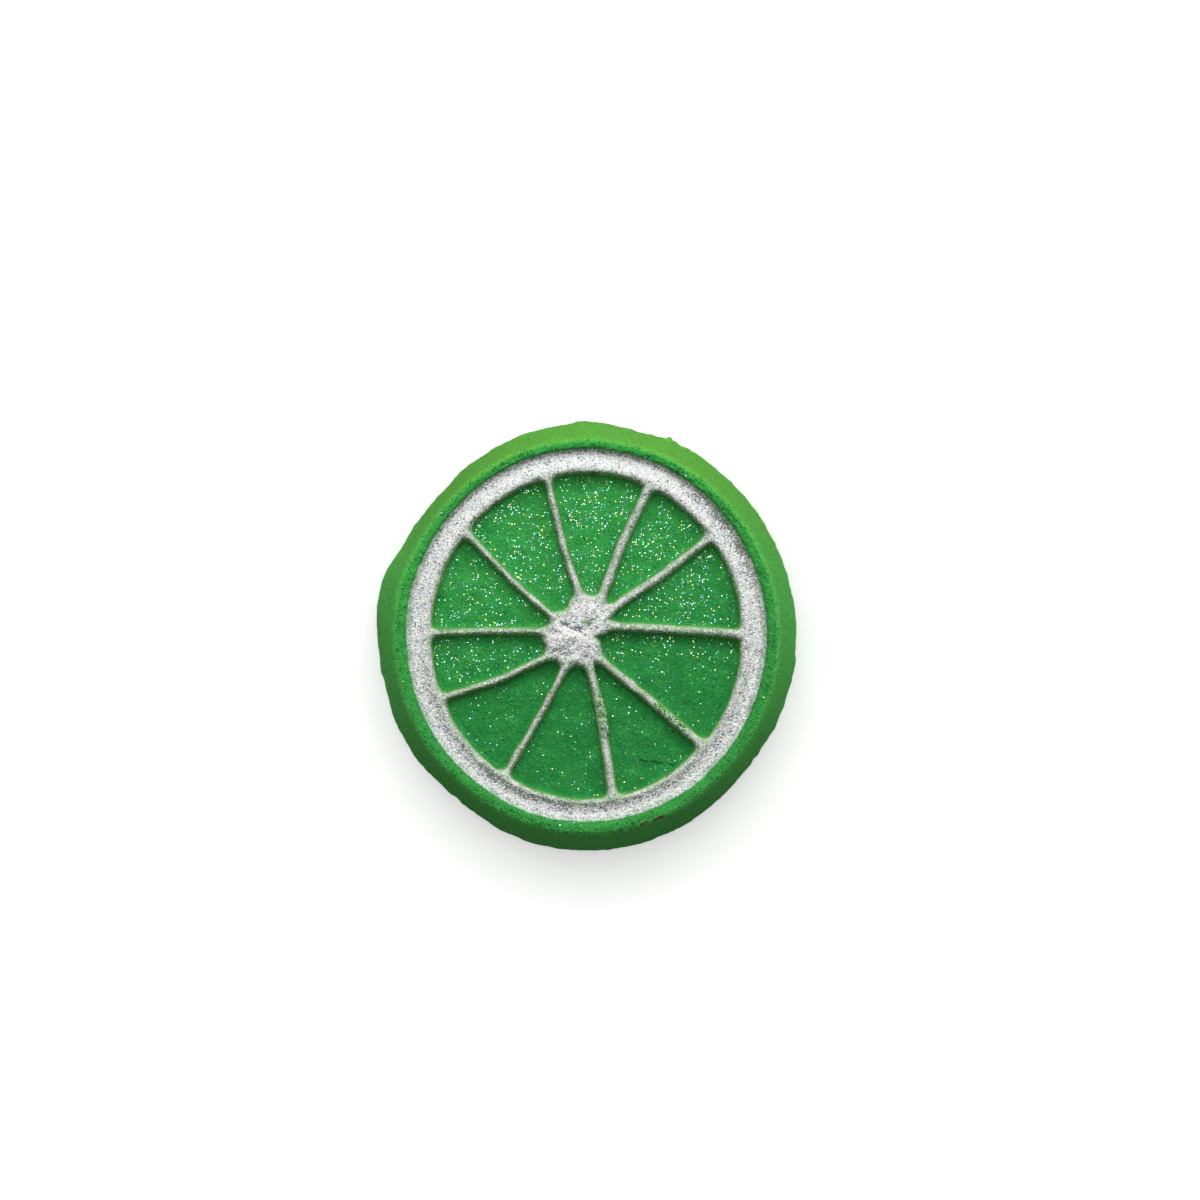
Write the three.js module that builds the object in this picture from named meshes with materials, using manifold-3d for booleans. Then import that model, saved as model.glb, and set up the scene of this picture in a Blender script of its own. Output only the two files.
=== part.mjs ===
// A bath bomb moulded as a slice of lime: one puck of pressed bath powder with a flat underside.
// Its top is the cut face of the fruit: a rind rim, a gutter-shaped pith ring, ten membrane ribs,
// a hub where the ribs meet, and a sunken pocket of flesh between each two ribs.
// Millimetres, +Z up, origin on the underside below the middle of the puck.
import * as THREE from "three";
import { mergeVertices, toCreasedNormals } from "three/addons/utils/BufferGeometryUtils.js";
import Module from "manifold-3d";

const wasm = await Module();
wasm.setup();

// Driving dimensions
const DIAMETER = 75; // mean width of the underside
const HEIGHT = 22; // underside to the crest of the rim
const TALLNESS = 1.026; // length along Y over length along X
const WALL_DRAFT = 2.9; // how far the side wall leans in between the underside and the rim
const EDGE_ROUND = 0.8; // worn edge round the underside

// Rim and pith ring: radii, and drops below the crest of the rim
const RIM_CREST_RADIUS = 33.7;
const RIM_SHOULDER_DROP = 1.0;
const RING_OUTER_RADIUS = 32.1;
const RING_OUTER_DROP = 1.3;
const GUTTER_RADIUS = 30.8;
const GUTTER_DROP = 1.9;
const RING_CREST_RADIUS = 28.3;
const RING_CREST_DROP = 0.6;

// Ribs, hub and pockets
const RIB_CREST_WIDTH = 0.9;
const RIB_SAG = 0.5; // how far the ribs dip below the ring crest, halfway along
const HUB_CENTRE = new THREE.Vector2(-1.2, 0.7);
const HUB_RADIUS = 5.0; // from the hub's centre to where its ribs start
const HUB_RISE = 0.5; // dome of the hub over the ring crest
const POCKET_DEPTH = 2.0; // ring crest to pocket floor
const POCKET_WALL_RUN = 0.8; // plan width of a pocket's curved wall
const CORNER_ROUND = 2.2; // how far from a pocket's corner its bend starts
const TIP_WIDTH = 3.2; // a pocket ends where its two ribs come this close

// Each rib runs from its bearing round the hub to its bearing round the pith ring, in degrees from +X
const RIBS = [
  { hub: 13, ring: 2 },
  { hub: 41, ring: 40 },
  { hub: 63, ring: 68 },
  { hub: 92, ring: 104 },
  { hub: 141, ring: 138 },
  { hub: 177, ring: 179 },
  { hub: 214, ring: 203 },
  { hub: 245, ring: 239 },
  { hub: 283, ring: 280 },
  { hub: 311, ring: 316 },
];

// Hand-pressing left the underside a little out of round: swells and, where negative, flats
const SWELLS = [
  { bearing: 0, size: 0.6, spread: 15 },
  { bearing: 85, size: 0.4, spread: 25 },
  { bearing: 140, size: -1.1, spread: 20 },
  { bearing: 170, size: 0.8, spread: 9 },
  { bearing: 228, size: -0.6, spread: 16 },
  { bearing: 272, size: 0.5, spread: 22 },
  { bearing: 318, size: -0.5, spread: 20 },
];
const RIM_SWELL_SHARE = 0.3; // how much of the underside's swell the rim keeps

// Fineness of the surfaces
const RAYS = 112;
const ROUND_STEPS = 3;
const ARC_STEP = 4.6; // distance between the bends along a pocket's outer edge
const MOST_BEND = 0.45; // share of an outline's edge that a bend may take at either end
const CREASE = THREE.MathUtils.degToRad(40);

const BASE_RADIUS = DIAMETER / 2;
const SHOULDER_RADIUS = BASE_RADIUS - WALL_DRAFT;
const RING_CREST_HEIGHT = HEIGHT - RING_CREST_DROP;
const radians = THREE.MathUtils.degToRad;
const mix = THREE.MathUtils.lerp;

function polar(radius, bearing) {
  return new THREE.Vector2(radius * Math.cos(bearing), radius * Math.sin(bearing));
}

// Section of the puck without its pockets, from the middle of the underside to the middle of the face
function puckSection() {
  const section = new THREE.Path();
  section.moveTo(0, 0);
  section.lineTo(BASE_RADIUS - EDGE_ROUND, 0);
  section.quadraticCurveTo(BASE_RADIUS, 0, BASE_RADIUS, EDGE_ROUND);
  section.lineTo(SHOULDER_RADIUS, HEIGHT - RIM_SHOULDER_DROP);
  section.quadraticCurveTo(SHOULDER_RADIUS, HEIGHT, RIM_CREST_RADIUS, HEIGHT);
  section.quadraticCurveTo(RING_OUTER_RADIUS, HEIGHT, RING_OUTER_RADIUS, HEIGHT - RING_OUTER_DROP);
  section.quadraticCurveTo(GUTTER_RADIUS, HEIGHT - GUTTER_DROP, RING_CREST_RADIUS, RING_CREST_HEIGHT);
  section.quadraticCurveTo(RING_CREST_RADIUS / 2, RING_CREST_HEIGHT - 2 * RIB_SAG, 0, RING_CREST_HEIGHT);
  return section.getPoints(ROUND_STEPS);
}

// How far the underside swells at a bearing
function swellAt(bearing) {
  return SWELLS.reduce((sum, { bearing: middle, size, spread }) => {
    const away = THREE.MathUtils.euclideanModulo(bearing - radians(middle) + Math.PI, 2 * Math.PI) - Math.PI;
    return sum + size * Math.exp(-((away / radians(spread)) ** 2));
  }, 0);
}

// The turned puck, with the swells of hand-pressing fading from the underside to the rim
function puckGeometry() {
  const geometry = new THREE.LatheGeometry(puckSection(), RAYS).rotateX(Math.PI / 2);
  const position = geometry.getAttribute("position");
  for (let i = 0; i < position.count; i++) {
    const plan = new THREE.Vector2(position.getX(i), position.getY(i));
    const share = mix(1, RIM_SWELL_SHARE, position.getZ(i) / HEIGHT) * Math.min(plan.length() / BASE_RADIUS, 1);
    const moved = polar(plan.length() + share * swellAt(plan.angle()), plan.angle());
    position.setXY(i, moved.x, moved.y);
  }
  return geometry;
}

// The low dome where the ribs meet
function hubGeometry() {
  const radius = HUB_RADIUS + CORNER_ROUND;
  const dome = new THREE.SphereGeometry(radius, RAYS / 4, 2 * ROUND_STEPS).rotateX(Math.PI / 2);
  dome.scale(1, 1, (HUB_RISE + RIB_SAG) / radius);
  return dome.translate(HUB_CENTRE.x, HUB_CENTRE.y, RING_CREST_HEIGHT - RIB_SAG);
}

// One side of a rib's crest, from its hub end to its ring end; side is 1 to the left and -1 to the right
function ribSide({ hub, ring }, side) {
  const start = polar(HUB_RADIUS, radians(hub)).add(HUB_CENTRE);
  const end = polar(RING_CREST_RADIUS, radians(ring));
  const across = end.clone().sub(start).normalize().rotateAround(new THREE.Vector2(), (side * Math.PI) / 2);
  return [start, end].map((point) => point.addScaledVector(across, RIB_CREST_WIDTH / 2));
}

// Corners of the pocket between two neighbouring ribs, with the bends of the ring's arc between them
function pocketCorners(rib, next) {
  const [leftHub, leftRing] = ribSide(rib, 1);
  const [rightHub, rightRing] = ribSide(next, -1);
  const hubWidth = leftHub.distanceTo(rightHub);
  const tip = Math.max(0, (TIP_WIDTH - hubWidth) / (leftRing.distanceTo(rightRing) - hubWidth));
  const turn = THREE.MathUtils.euclideanModulo(rightRing.angle() - leftRing.angle(), 2 * Math.PI);
  const steps = Math.round((turn * RING_CREST_RADIUS) / ARC_STEP);
  const arc = Array.from({ length: steps - 1 }, (_, k) =>
    polar(RING_CREST_RADIUS, leftRing.angle() + (turn * (k + 1)) / steps),
  );
  return [leftHub.clone().lerp(leftRing, tip), leftRing, ...arc, rightRing, rightHub.clone().lerp(rightRing, tip)];
}

// A closed outline that bends round each corner, with a straight stretch between two bends
function roundedShape(corners) {
  const shape = new THREE.Shape();
  const towards = (from, to) => from.clone().lerp(to, Math.min(CORNER_ROUND / from.distanceTo(to), MOST_BEND));
  corners.forEach((corner, i) => {
    const into = towards(corner, corners.at(i - 1));
    const out = towards(corner, corners[(i + 1) % corners.length]);
    if (i === 0) shape.moveTo(into.x, into.y);
    else shape.lineTo(into.x, into.y);
    shape.quadraticCurveTo(corner.x, corner.y, out.x, out.y);
  });
  return shape;
}

// The hollow of one pocket: its outline at the height of the ring crest, rounding in to its floor
function pocketGeometry(rib, next) {
  const hollow = new THREE.ExtrudeGeometry(roundedShape(pocketCorners(rib, next)), {
    depth: HEIGHT,
    curveSegments: ROUND_STEPS,
    bevelThickness: POCKET_DEPTH,
    bevelSize: POCKET_WALL_RUN,
    bevelOffset: -POCKET_WALL_RUN,
    bevelSegments: ROUND_STEPS,
  });
  return hollow.translate(0, 0, RING_CREST_HEIGHT);
}

function solidFrom(geometry) {
  geometry.deleteAttribute("normal");
  geometry.deleteAttribute("uv");
  const { index, attributes } = mergeVertices(geometry);
  const triVerts = new Uint32Array(index.array);
  return new wasm.Manifold(new wasm.Mesh({ numProp: 3, vertProperties: attributes.position.array, triVerts }));
}

function geometryFrom(solid) {
  const { numProp, vertProperties, triVerts } = solid.getMesh();
  const geometry = new THREE.BufferGeometry();
  geometry.setAttribute("position", new THREE.BufferAttribute(vertProperties, numProp));
  geometry.setIndex(new THREE.BufferAttribute(triVerts, 1));
  return geometry;
}

// Puck and hub joined, with a pocket sunk between each rib and the next
function sliceGeometry() {
  const whole = solidFrom(puckGeometry()).add(solidFrom(hubGeometry()));
  const pockets = RIBS.map((rib, i) => solidFrom(pocketGeometry(rib, RIBS[(i + 1) % RIBS.length])));
  const geometry = geometryFrom(pockets.reduce((solid, pocket) => solid.subtract(pocket), whole));
  geometry.scale(1 / Math.sqrt(TALLNESS), Math.sqrt(TALLNESS), 1);
  geometry.computeBoundingBox();
  const middle = geometry.boundingBox.getCenter(new THREE.Vector3());
  geometry.translate(-middle.x, -middle.y, 0);
  return toCreasedNormals(geometry, CREASE);
}

const pressedPowder = new THREE.MeshStandardMaterial({ color: 0x3c9645, roughness: 0.95, metalness: 0 });
const slice = new THREE.Mesh(sliceGeometry(), pressedPowder);
slice.name = "pressed_lime_slice";

const bathBomb = new THREE.Group();
bathBomb.name = "lime_slice_bath_bomb";
bathBomb.add(slice);

export default bathBomb;
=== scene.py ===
# %% [markdown]
# # A bath bomb moulded as a slice of lime
# The object is one puck of pressed, dyed bath powder. Its top is the cut face of a lime: a rind rim, a
# ring of pith, ten ribs that meet in a hub, and sunken pockets of flesh. The ring, ribs and hub are
# brushed with silver-white mica, and the pockets are sprinkled with fine glitter.
#
# The lesson loads the measured solid as a fixed frame, grows a finer skin over it with Geometry Nodes,
# gives that skin its powder and mica, and then scatters the glitter on it.

# %% Load the frame
import math

import bpy
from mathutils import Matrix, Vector


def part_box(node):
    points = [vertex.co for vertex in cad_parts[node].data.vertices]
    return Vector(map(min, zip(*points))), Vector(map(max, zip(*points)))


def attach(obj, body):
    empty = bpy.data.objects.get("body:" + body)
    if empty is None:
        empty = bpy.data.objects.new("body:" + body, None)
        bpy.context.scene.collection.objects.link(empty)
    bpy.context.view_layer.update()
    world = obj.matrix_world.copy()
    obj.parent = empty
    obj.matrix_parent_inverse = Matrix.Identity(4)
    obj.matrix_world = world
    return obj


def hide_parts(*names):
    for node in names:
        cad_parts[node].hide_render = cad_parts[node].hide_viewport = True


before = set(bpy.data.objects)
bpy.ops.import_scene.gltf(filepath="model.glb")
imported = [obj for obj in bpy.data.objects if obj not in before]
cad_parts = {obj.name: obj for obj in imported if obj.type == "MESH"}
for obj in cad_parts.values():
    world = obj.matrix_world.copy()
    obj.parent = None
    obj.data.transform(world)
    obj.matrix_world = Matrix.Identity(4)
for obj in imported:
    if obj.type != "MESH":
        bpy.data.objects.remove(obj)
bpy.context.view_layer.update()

MM = 0.001
low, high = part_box("pressed_lime_slice")
HEIGHT = high.z
BASE_RADIUS = (high.x - low.x + high.y - low.y) / 4
print(f"frame: {2 * BASE_RADIUS / MM:.1f} mm across, {HEIGHT / MM:.1f} mm high")

# %% [markdown]
# ## Camera, floor and light
# The photograph looks straight down on the puck, so the camera hangs above it and looks along -Z, with
# the slice a little below and left of the middle of the picture. A long lens far away keeps the side wall
# thin.
#
# The floor is white paper. It throws back less light than it shows, so that the foot of the wall stays
# dark, and it glows a little, so that the shadow round the puck stays pale. Three soft lights do the
# rest: one overhead, one beyond the top of the picture that draws the relief, and one for the floor
# alone. A dim white sky fills the shadows.

# %% Camera
CAMERA_HEIGHT = 1.2
PICTURE_WIDTH = 214.7 * MM
PICTURE_MIDDLE = Vector((2.4, 6.4, 0)) * MM
SENSOR_MM = 36

scene = bpy.context.scene
scene.view_settings.view_transform = "Standard"
camera = bpy.data.objects.new("camera", bpy.data.cameras.new("camera"))
camera.location = PICTURE_MIDDLE + Vector((0, 0, CAMERA_HEIGHT))
camera.data.sensor_width = SENSOR_MM
camera.data.lens = SENSOR_MM * CAMERA_HEIGHT / PICTURE_WIDTH
scene.collection.objects.link(camera)
scene.camera = camera
print(f"camera: {camera.data.lens:.0f} mm lens, {CAMERA_HEIGHT} m above the floor")

# %% Floor
WHITE = (1, 1, 1, 1)
FLOOR_SIDE = 6.0
FLOOR_GREY = (0.32, 0.32, 0.32, 1)
FLOOR_WHITE = (0.95, 0.95, 0.95, 1)
FLOOR_ROUGHNESS = 0.9
FLOOR_GLOW = 0.28


def new_material(name, **constants):
    """A material, and its Principled shader with the values that are the same all over."""
    material = bpy.data.materials.new(name)
    material.use_nodes = True
    shader = material.node_tree.nodes["Principled BSDF"]
    for socket, value in constants.items():
        shader.inputs[socket.replace("_", " ")].default_value = value
    return material, shader


def floor_material():
    """Glowing white paper for the camera, and a greyer one for the light that it throws back up."""
    material, seen = new_material(
        "floor_paper",
        Base_Color=FLOOR_WHITE,
        Roughness=FLOOR_ROUGHNESS,
        Emission_Color=WHITE,
        Emission_Strength=FLOOR_GLOW,
    )
    tree = material.node_tree
    thrown = tree.nodes.new("ShaderNodeBsdfDiffuse")
    thrown.inputs["Color"].default_value = FLOOR_GREY
    either = tree.nodes.new("ShaderNodeMixShader")
    tree.links.new(tree.nodes.new("ShaderNodeLightPath").outputs["Is Camera Ray"], either.inputs[0])
    tree.links.new(thrown.outputs[0], either.inputs[1])
    tree.links.new(seen.outputs[0], either.inputs[2])
    tree.links.new(either.outputs[0], tree.nodes["Material Output"].inputs["Surface"])
    return material


half = FLOOR_SIDE / 2
corners = [(-half, -half, 0), (half, -half, 0), (half, half, 0), (-half, half, 0)]
floor_mesh = bpy.data.meshes.new("floor")
floor_mesh.from_pydata(corners, [], [(0, 1, 2, 3)])
floor_mesh.materials.append(floor_material())
floor = bpy.data.objects.new("floor", floor_mesh)
scene.collection.objects.link(floor)
print(f"floor: {FLOOR_SIDE} m square")

# %% Light
# Each light: where it stands, how wide and how tall it is, and its power.
LIGHTS = {
    "top_light": (Vector((-0.05, 0.35, 1.60)), 1.5, 1.5, 16.0),
    "key_light": (Vector((0.15, 1.00, 0.80)), 3.0, 0.6, 36.0),
    "floor_light": (Vector((0.0, 0.5, 1.60)), 1.5, 1.5, 9.0),
}
SKY_STRENGTH = 0.13

for name, (place, width, tall, power) in LIGHTS.items():
    lamp = bpy.data.objects.new(name, bpy.data.lights.new(name, "AREA"))
    lamp.data.shape = "RECTANGLE"
    lamp.data.size = width
    lamp.data.size_y = tall
    lamp.data.energy = power
    lamp.location = place
    lamp.rotation_euler = (-place).to_track_quat("-Z", "Y").to_euler()
    scene.collection.objects.link(lamp)

sky = bpy.data.worlds.new("sky")
sky.use_nodes = True
sky.node_tree.nodes["Background"].inputs["Color"].default_value = WHITE
sky.node_tree.nodes["Background"].inputs["Strength"].default_value = SKY_STRENGTH
scene.world = sky
print(f"light: {', '.join(LIGHTS)} and a white sky at {SKY_STRENGTH}")

# %% [markdown]
# ## Fields
# Both the shape and the finish of this piece are sums of distances and noise, so the node trees would be
# long lists of Math nodes. The small class below lets the script write them as sums instead: adding two
# fields adds a Math node to their tree and gives its output back as a new field.

# %% Field helpers


def feed(tree, socket, value):
    """Links a socket to a field or an output, or sets it to a plain value."""
    source = value.socket if isinstance(value, Field) else value
    if isinstance(source, bpy.types.NodeSocket):
        tree.links.new(source, socket)
    else:
        socket.default_value = source


def add_node(tree, kind, inputs=(), **settings):
    """Adds a node, sets its properties, then feeds the inputs that are given by name or number."""
    node = tree.nodes.new(kind)
    for name, value in settings.items():
        setattr(node, name, value)
    for key, value in dict(inputs).items():
        feed(tree, node.inputs[key], value)
    return node


def maths(operation, *values, **settings):
    """One Math node, in the tree of the first field among its values."""
    tree = next(value.tree for value in values if isinstance(value, Field))
    node = add_node(tree, "ShaderNodeMath", enumerate(values), operation=operation, **settings)
    return Field(node.outputs[0])


class Field:
    """A node's output that can be used in sums."""

    def __init__(self, socket):
        self.socket = socket
        self.tree = socket.id_data

    def __add__(self, other):
        return maths("ADD", self, other)

    def __sub__(self, other):
        return maths("SUBTRACT", self, other)

    def __rsub__(self, other):
        return maths("SUBTRACT", other, self)

    def __mul__(self, other):
        return maths("MULTIPLY", self, other)

    def __truediv__(self, other):
        return maths("DIVIDE", self, other)

    __radd__ = __add__
    __rmul__ = __mul__


print("fields: nodes that add, subtract, multiply and divide")

# %% Ramps, noise and drawn curves


def clamped(value):
    """A field held between 0 and 1."""
    return maths("ADD", value, 0.0, use_clamp=True)


def ramp(value, start, end, first=0.0, last=1.0):
    """A smooth step from first to last as value goes from start to end."""
    inputs = {"Value": value, "From Min": start, "From Max": end, "To Min": first, "To Max": last}
    node = add_node(value.tree, "ShaderNodeMapRange", inputs, interpolation_type="SMOOTHSTEP")
    return Field(node.outputs["Result"])


def noise(place, size, seed, detail=2.0):
    """Noise from about -1 to 1 whose lumps are about as wide as size."""
    inputs = {"Vector": place, "W": seed, "Scale": 1 / size, "Detail": detail}
    node = add_node(place.id_data, "ShaderNodeTexNoise", inputs, noise_dimensions="4D")
    return (Field(node.outputs[0]) - 0.5) * 2.0


def drawn(value, points):
    """A drawn curve through points, over values from 0 to 1."""
    node = add_node(value.tree, "ShaderNodeFloatCurve", {"Value": value})
    curve = node.mapping.curves[0]
    for place in points[2:]:
        curve.points.new(*place)
    for handle, place in zip(curve.points, sorted(points)):
        handle.location = place
    node.mapping.update()
    return Field(node.outputs[0])


print("fields of one value: ramp, noise, drawn curve")

# %% Places and distances


def vector(operation, first, second):
    """One Vector Math node, in the tree of its first value."""
    node = add_node(first.id_data, "ShaderNodeVectorMath", {0: first, 1: second}, operation=operation)
    return node.outputs


def scaled(arrow, factor):
    """An arrow made longer or shorter by a field."""
    node = add_node(factor.tree, "ShaderNodeVectorMath", {0: arrow}, operation="SCALE")
    feed(factor.tree, node.inputs["Scale"], factor)
    return node.outputs[0]


def from_line(place, start, end):
    """How far each place is from the straight line between two points in millimetres."""
    origin = Vector(start) * MM
    reach = Vector(end) * MM - origin
    away = vector("SUBTRACT", place, origin)[0]
    share = Field(vector("DOT_PRODUCT", away, reach)["Value"]) / reach.length_squared
    return Field(vector("DISTANCE", away, scaled(reach, clamped(share)))["Value"])


def axes(place):
    """The X, Y and Z of a place, as fields."""
    node = add_node(place.id_data, "ShaderNodeSeparateXYZ", {0: place})
    return [Field(socket) for socket in node.outputs]


def point(tree, x=0.0, y=0.0, z=0.0):
    """A place put together from its X, Y and Z."""
    return add_node(tree, "ShaderNodeCombineXYZ", {"X": x, "Y": y, "Z": z}).outputs[0]


print("fields of place: axes, arrows, distance from a line")

# %% Tree helpers


def new_tree(name, kinds):
    """A geometry tree with named inputs, its input sockets, and a geometry output."""
    tree = bpy.data.node_groups.new(name, "GeometryNodeTree")
    for label, kind in kinds.items():
        tree.interface.new_socket(label, in_out="INPUT", socket_type="NodeSocket" + kind)
    tree.interface.new_socket("Geometry", in_out="OUTPUT", socket_type="NodeSocketGeometry")
    return tree, add_node(tree, "NodeGroupInput").outputs


def finished_tree(tree, geometry, material):
    """Ends a tree in Realize Instances and Set Material."""
    real = add_node(tree, "GeometryNodeRealizeInstances", {"Geometry": geometry}).outputs[0]
    dressed = add_node(tree, "GeometryNodeSetMaterial", {"Geometry": real, "Material": material}).outputs[0]
    add_node(tree, "NodeGroupOutput", {"Geometry": dressed})
    return tree


def made_by(tree, name, values):
    """Runs a tree with its inputs set, and keeps the result as a plain mesh object at the origin."""
    piece = bpy.data.objects.new(name, bpy.data.meshes.new(name))
    scene.collection.objects.link(piece)
    modifier = piece.modifiers.new(tree.name, "NODES")
    modifier.node_group = tree
    for item in tree.interface.items_tree:
        if item.in_out == "INPUT":
            modifier[item.identifier] = values[item.name]
    graph = bpy.context.evaluated_depsgraph_get()
    shape = piece.evaluated_get(graph)
    mesh = bpy.data.meshes.new_from_object(shape, preserve_all_data_layers=True, depsgraph=graph)
    piece.modifiers.clear()
    piece.data = mesh
    mesh.name = name
    return piece


def position(tree):
    """Where each point of a geometry is."""
    return add_node(tree, "GeometryNodeInputPosition").outputs[0]


def moved(tree, geometry, **places):
    """A Set Position node: Position puts each point somewhere, Offset shifts it."""
    return add_node(tree, "GeometryNodeSetPosition", {"Geometry": geometry, **places}).outputs[0]


def keep(tree, geometry, name, value):
    """Stores a field on the points of a geometry."""
    inputs = {"Geometry": geometry, "Name": name, "Value": value}
    return add_node(tree, "GeometryNodeStoreNamedAttribute", inputs).outputs[0]


def kept(tree, name):
    """A stored field, in a geometry tree or in a material."""
    if tree.type == "GEOMETRY":
        return Field(add_node(tree, "GeometryNodeInputNamedAttribute", {"Name": name}).outputs["Attribute"])
    return Field(add_node(tree, "ShaderNodeAttribute", attribute_name=name).outputs["Fac"])


print("trees: run once, kept as plain meshes")

# %% [markdown]
# ## Two sketches of the slice
# A pressed puck is a turned shape with a relief in its top, so two flat sketches are enough to describe
# it. The first is its section: points from the middle of the underside, out, up the wall, over the rim,
# through the gutter of the pith ring and in to the hub. Each point becomes one row of the skin, so the
# points lie close together where the shape bends. The second sketch is the middle line of each rib, seen
# from above.
#
# Both are plain meshes of points and edges. They only guide the node tree, and are deleted once it has
# run.

# %% Section sketch
# Room inside the measured box for the lumps of the powder.
LUMP_ROOM = 0.25 * MM
RIM_HEIGHT = HEIGHT - LUMP_ROOM
WALL_RADIUS = BASE_RADIUS - 2 * LUMP_ROOM
EDGE_ROUND = 0.8 * MM
SHOULDER_RADIUS = 34.95 * MM
SHOULDER_DROP = 3.5 * MM
SHOULDER_LEAN = 0.5 * MM
RIM_RADIUS = 33.6 * MM
RING_OUTER_RADIUS = 32.22 * MM
RING_OUTER_DROP = 0.72 * MM
STEP_BEND_RADIUS = 32.4 * MM
STEP_FOOT_RADIUS = 31.4 * MM
GUTTER_RADIUS = 31.0 * MM
GUTTER_HEIGHT = RIM_HEIGHT - 1.2 * MM
GUTTER_BEND_RADIUS = 30.2 * MM
SLOPE_RADIUS = 29.4 * MM
RING_BEND_RADIUS = 29.0 * MM
RING_TOP_RADIUS = 28.6 * MM
RING_CREST_RADIUS = 28.2 * MM
RING_CREST_HEIGHT = RIM_HEIGHT - 0.6 * MM
SLOPE_SHARE = (GUTTER_BEND_RADIUS - SLOPE_RADIUS) / (GUTTER_BEND_RADIUS - RING_BEND_RADIUS)
SLOPE_HEIGHT = GUTTER_HEIGHT + (RING_CREST_HEIGHT - GUTTER_HEIGHT) * SLOPE_SHARE
POCKET_EDGE_RADIUS = 26.2 * MM
HUB_EDGE_RADIUS = 7.0 * MM


def along(start, end, rows, bend=None):
    """Points of a stretch, without its start: straight, or curved towards a bend point."""
    bend = bend or (start + end) / 2
    shares = [(row + 1) / rows for row in range(rows)]
    return [start * (1 - t) ** 2 + bend * 2 * t * (1 - t) + end * t**2 for t in shares]


# Each stretch: where it ends, how many rows it has, and the point that it bends towards.
stretches = [
    ((WALL_RADIUS - EDGE_ROUND, 0), 5, None),
    ((WALL_RADIUS, EDGE_ROUND), 4, (WALL_RADIUS, 0)),
    ((SHOULDER_RADIUS, RIM_HEIGHT - SHOULDER_DROP), 27, None),
    ((RIM_RADIUS, RIM_HEIGHT), 14, (SHOULDER_RADIUS - SHOULDER_LEAN, RIM_HEIGHT)),
    ((RING_OUTER_RADIUS, RIM_HEIGHT - RING_OUTER_DROP), 9, (STEP_BEND_RADIUS, RIM_HEIGHT)),
    ((GUTTER_RADIUS, GUTTER_HEIGHT), 4, (STEP_FOOT_RADIUS, GUTTER_HEIGHT)),
    ((SLOPE_RADIUS, SLOPE_HEIGHT), 5, (GUTTER_BEND_RADIUS, GUTTER_HEIGHT)),
    ((RING_TOP_RADIUS, RING_CREST_HEIGHT), 4, (RING_BEND_RADIUS, RING_CREST_HEIGHT)),
    ((POCKET_EDGE_RADIUS, RING_CREST_HEIGHT), 12, None),
    ((HUB_EDGE_RADIUS, RING_CREST_HEIGHT), 52, None),
    ((0, RING_CREST_HEIGHT), 20, None),
]
section = [Vector((0, 0))]
for end, rows, bend in stretches:
    section += along(section[-1], Vector(end), rows, bend and Vector(bend))


def sketch(name, lines):
    """An object of points joined by edges, line by line."""
    points, edges = [], []
    for line in lines:
        edges += [(len(points) + i, len(points) + i + 1) for i in range(len(line) - 1)]
        points += line
    mesh = bpy.data.meshes.new(name)
    mesh.from_pydata(points, edges, [])
    made = bpy.data.objects.new(name, mesh)
    scene.collection.objects.link(made)
    return made


section_sketch = sketch("section_sketch", [[(p.x, 0, p.y) for p in section]])
print(f"section: {len(section)} rows")

# %% Rib sketch
# Each rib from the hub outwards, in millimetres: its hub end, a point on the way and its ring end.
HUB_CENTRE = Vector((-1.4, 0.8, 0)) * MM
RIBS = [
    [(3.89, 1.80), (14.49, 1.20), (27.60, 0.40)],
    [(4.11, 4.62), (12.81, 10.42), (22.61, 18.02)],
    [(2.52, 6.53), (6.45, 16.78), (11.37, 26.83)],
    [(-1.22, 7.27), (-3.96, 15.48), (-7.12, 28.59)],
    [(-6.52, 3.97), (-12.82, 9.47), (-21.02, 18.07)],
    [(-7.60, 0.85), (-17.70, 0.90), (-27.60, 0.53)],
    [(-6.50, -3.45), (-14.90, -7.45), (-25.50, -10.95)],
    [(-3.57, -5.20), (-8.35, -14.22), (-14.20, -24.34)],
    [(0.47, -5.16), (2.35, -12.54), (4.62, -28.03)],
    [(2.30, -4.00), (10.25, -10.46), (20.10, -18.92)],
]
rib_lines = [[HUB_CENTRE] + [(x * MM, y * MM, 0) for x, y in rib] for rib in RIBS]
rib_sketch = sketch("rib_sketch", rib_lines)
print(f"ribs: {len(RIBS)}")

# %% [markdown]
# ## The skin of the slice
# One node tree makes the whole skin in five steps: it wraps a grid round the section, pushes it out of
# round, sinks the pockets, marks what each point is made of, and roughens each kind of place with its own
# lumps.
#
# A puck pressed in a mould starts as a turned shape. A Screw modifier could turn the section as well, but
# a grid in the same tree as the relief needs no second object: each row of the grid takes the radius and
# the height of one point of the section, and each column takes one bearing.

# %% Skin, step 1: wrap a grid round the section
RAYS = 630
# Far less than any detail: points this close together are one point.
HAIR = 0.001 * MM


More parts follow.
